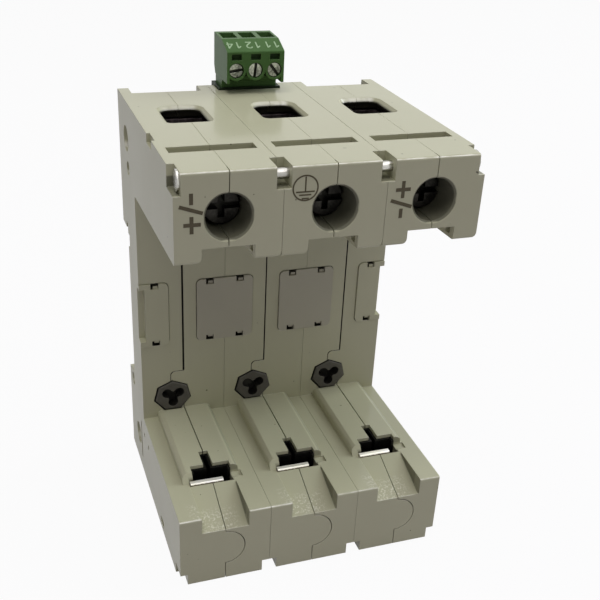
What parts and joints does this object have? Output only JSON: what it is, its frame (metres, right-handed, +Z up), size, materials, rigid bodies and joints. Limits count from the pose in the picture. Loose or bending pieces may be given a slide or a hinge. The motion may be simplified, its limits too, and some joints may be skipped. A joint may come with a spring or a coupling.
{
  "type": "surge protection device",
  "caption": "Rail-mounted base unit of a plug-in surge protection device: C-shaped modular poles with clamping terminals, empty cartridge bays and a pluggable signal connector.",
  "frame": {"origin": "middle of the bounding box at the height of the underside, where the base stands", "axes": "+Z up along the height of the base, +Y from the front towards the mounting rail, +X across the poles to the viewer's right"},
  "size_m": [0.0534, 0.0528, 0.0928],
  "materials": {
    "housing": "light warm grey glass-filled polyamide, satin",
    "cover_plate": "light warm grey polyamide, matt",
    "coding_key": "near-black plastic, matt",
    "rail_foot": "dark grey acetal, satin",
    "header": "dark green-black plastic, satin",
    "plug": "green polyamide, satin",
    "board": "glass-epoxy board",
    "screw": "zinc-plated steel, dull",
    "cage": "zinc-plated steel, dull",
    "plug_screw": "zinc-plated steel",
    "plug_clamp": "zinc-plated steel",
    "rivet": "plated steel, dull",
    "spring": "spring steel strip",
    "contact": "tin-plated copper alloy",
    "clip": "blackened spring steel",
    "pin": "tin-plated brass"
  },
  "bodies": {
    "base": {"shell_left_1": "housing", "shell_right_1": "housing", "shell_left_2": "housing", "shell_right_2": "housing", "shell_left_3": "housing", "shell_right_3": "housing", "line_contact_1": "contact", "lower_contact_1": "contact", "contact_clip_1": "clip", "coding_key_1": "coding_key", "line_contact_2": "contact", "lower_contact_2": "contact", "contact_clip_2": "clip", "coding_key_2": "coding_key", "line_contact_3": "contact", "lower_contact_3": "contact", "contact_clip_3": "clip", "coding_key_3": "coding_key", "cover_plate_1": "cover_plate", "cover_plate_2": "cover_plate", "cover_plate_3": "cover_plate", "cover_plate_4": "cover_plate", "tie_rivets": "rivet", "star_bar": "contact", "foot_spring_1": "spring", "foot_spring_2": "spring", "header_shroud": "header", "header_pins": "pin", "signal_board": "board"},
    "terminal_screw_1": {"terminal_screw_1": "screw"},
    "terminal_cage_1": {"terminal_cage_1": "cage"},
    "terminal_screw_2": {"terminal_screw_2": "screw"},
    "terminal_cage_2": {"terminal_cage_2": "cage"},
    "terminal_screw_3": {"terminal_screw_3": "screw"},
    "terminal_cage_3": {"terminal_cage_3": "cage"},
    "rail_foot_1": {"rail_foot_1": "rail_foot"},
    "rail_foot_2": {"rail_foot_2": "rail_foot"},
    "plug": {"plug_body": "plug", "plug_blades": "contact"},
    "plug_screw_1": {"plug_screw_1": "plug_screw"},
    "plug_clamp_1": {"plug_clamp_1": "plug_clamp"},
    "plug_screw_2": {"plug_screw_2": "plug_screw"},
    "plug_clamp_2": {"plug_clamp_2": "plug_clamp"},
    "plug_screw_3": {"plug_screw_3": "plug_screw"},
    "plug_clamp_3": {"plug_clamp_3": "plug_clamp"}
  },
  "joints": [
    {"name": "terminal_screw_1_turn", "type": "hinge", "parent": "base", "child": "terminal_screw_1", "pos_m": [-0.0178, -0.02135, 0.0752], "axis": [0, 1, 0], "range_deg": [0, 3600]},
    {"name": "terminal_cage_1_slide", "type": "slide", "parent": "base", "child": "terminal_cage_1", "axis": [0, -1, 0], "range_m": [0, 0.0074]},
    {"name": "terminal_screw_2_turn", "type": "hinge", "parent": "base", "child": "terminal_screw_2", "pos_m": [0, -0.02135, 0.0752], "axis": [0, 1, 0], "range_deg": [0, 3600]},
    {"name": "terminal_cage_2_slide", "type": "slide", "parent": "base", "child": "terminal_cage_2", "axis": [0, -1, 0], "range_m": [0, 0.0074]},
    {"name": "terminal_screw_3_turn", "type": "hinge", "parent": "base", "child": "terminal_screw_3", "pos_m": [0.0178, -0.02135, 0.0752], "axis": [0, 1, 0], "range_deg": [0, 3600]},
    {"name": "terminal_cage_3_slide", "type": "slide", "parent": "base", "child": "terminal_cage_3", "axis": [0, -1, 0], "range_m": [0, 0.0074]},
    {"name": "plug_pull", "type": "slide", "parent": "base", "child": "plug", "axis": [0, 0, 1], "range_m": [0, 0.01]},
    {"name": "plug_screw_1_turn", "type": "hinge", "parent": "plug", "child": "plug_screw_1", "pos_m": [-0.00496, 0.01635, 0.0873], "axis": [0, 1, 0], "range_deg": [0, 1440]},
    {"name": "plug_clamp_1_slide", "type": "slide", "parent": "plug", "child": "plug_clamp_1", "axis": [0, -1, 0], "range_m": [0, 0.0015]},
    {"name": "plug_screw_2_turn", "type": "hinge", "parent": "plug", "child": "plug_screw_2", "pos_m": [-0.00115, 0.01635, 0.0873], "axis": [0, 1, 0], "range_deg": [0, 1440]},
    {"name": "plug_clamp_2_slide", "type": "slide", "parent": "plug", "child": "plug_clamp_2", "axis": [0, -1, 0], "range_m": [0, 0.0015]},
    {"name": "plug_screw_3_turn", "type": "hinge", "parent": "plug", "child": "plug_screw_3", "pos_m": [0.00266, 0.01635, 0.0873], "axis": [0, 1, 0], "range_deg": [0, 1440]},
    {"name": "plug_clamp_3_slide", "type": "slide", "parent": "plug", "child": "plug_clamp_3", "axis": [0, -1, 0], "range_m": [0, 0.0015]},
    {"name": "rail_foot_1_slide", "type": "slide", "parent": "base", "child": "rail_foot_1", "axis": [0, 0, -1], "range_m": [0, 0.004], "stiffness_N_per_m": 2000, "springref_m": -0.001, "deforming": ["foot_spring_1"]},
    {"name": "rail_foot_2_slide", "type": "slide", "parent": "base", "child": "rail_foot_2", "axis": [0, 0, -1], "range_m": [0, 0.004], "stiffness_N_per_m": 2000, "springref_m": -0.001, "deforming": ["foot_spring_2"]}
  ],
  "couplings": [
    {"joint": "terminal_screw_1_turn", "follows": "terminal_cage_1_slide", "rad_per_m": 7854},
    {"joint": "terminal_screw_2_turn", "follows": "terminal_cage_2_slide", "rad_per_m": 7854},
    {"joint": "terminal_screw_3_turn", "follows": "terminal_cage_3_slide", "rad_per_m": 7854},
    {"joint": "plug_screw_1_turn", "follows": "plug_clamp_1_slide", "rad_per_m": 15708},
    {"joint": "plug_screw_2_turn", "follows": "plug_clamp_2_slide", "rad_per_m": 15708},
    {"joint": "plug_screw_3_turn", "follows": "plug_clamp_3_slide", "rad_per_m": 15708}
  ]
}
